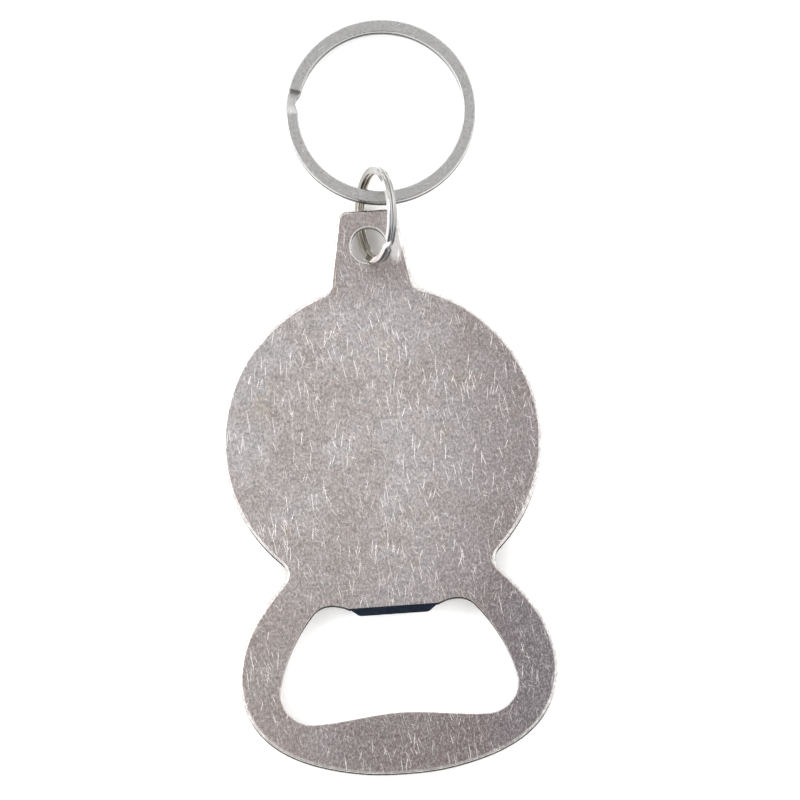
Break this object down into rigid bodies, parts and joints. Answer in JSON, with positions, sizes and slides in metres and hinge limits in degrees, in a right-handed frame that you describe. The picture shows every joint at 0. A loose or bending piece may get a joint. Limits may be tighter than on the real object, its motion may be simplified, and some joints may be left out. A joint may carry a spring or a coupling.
{
  "type": "keychain bottle opener",
  "caption": "Flat stamped steel bottle opener with a round badge disc, a bell-shaped cap window with a prying lip, and a lug linked by a small split ring to a large key ring.",
  "frame": {"origin": "bottom centre of the whole object's box, as it lies on its front; z = 0 is the ground", "axes": "+Z is the normal of the opener's plain back and points up; +Y runs from the cap window to the lug and the rings; +X completes a right-handed frame, across the plate"},
  "size_m": [0.045, 0.1078, 0.0132],
  "materials": {
    "plated_steel": "satin nickel plate, finely scratched, with bright rolled edges",
    "bright_nickel": "bright nickel plate",
    "satin_nickel": "satin nickel plate with polished corners"
  },
  "bodies": {
    "opener": {"opener_plate": "plated_steel"},
    "small_ring": {"link_ring": "bright_nickel"},
    "large_ring": {"key_ring": "satin_nickel"}
  },
  "joints": [
    {"name": "small_ring_swing", "type": "hinge", "parent": "opener", "child": "small_ring", "pos_m": [0, 0.02157, 0.00255], "axis": [1, 0, 0], "range_deg": [-95, 0]},
    {"name": "key_ring_swing", "type": "hinge", "parent": "small_ring", "child": "large_ring", "pos_m": [0.00305, 0.02842, 0.00417], "axis": [1, 0, 0], "range_deg": [-60, 140]}
  ]
}
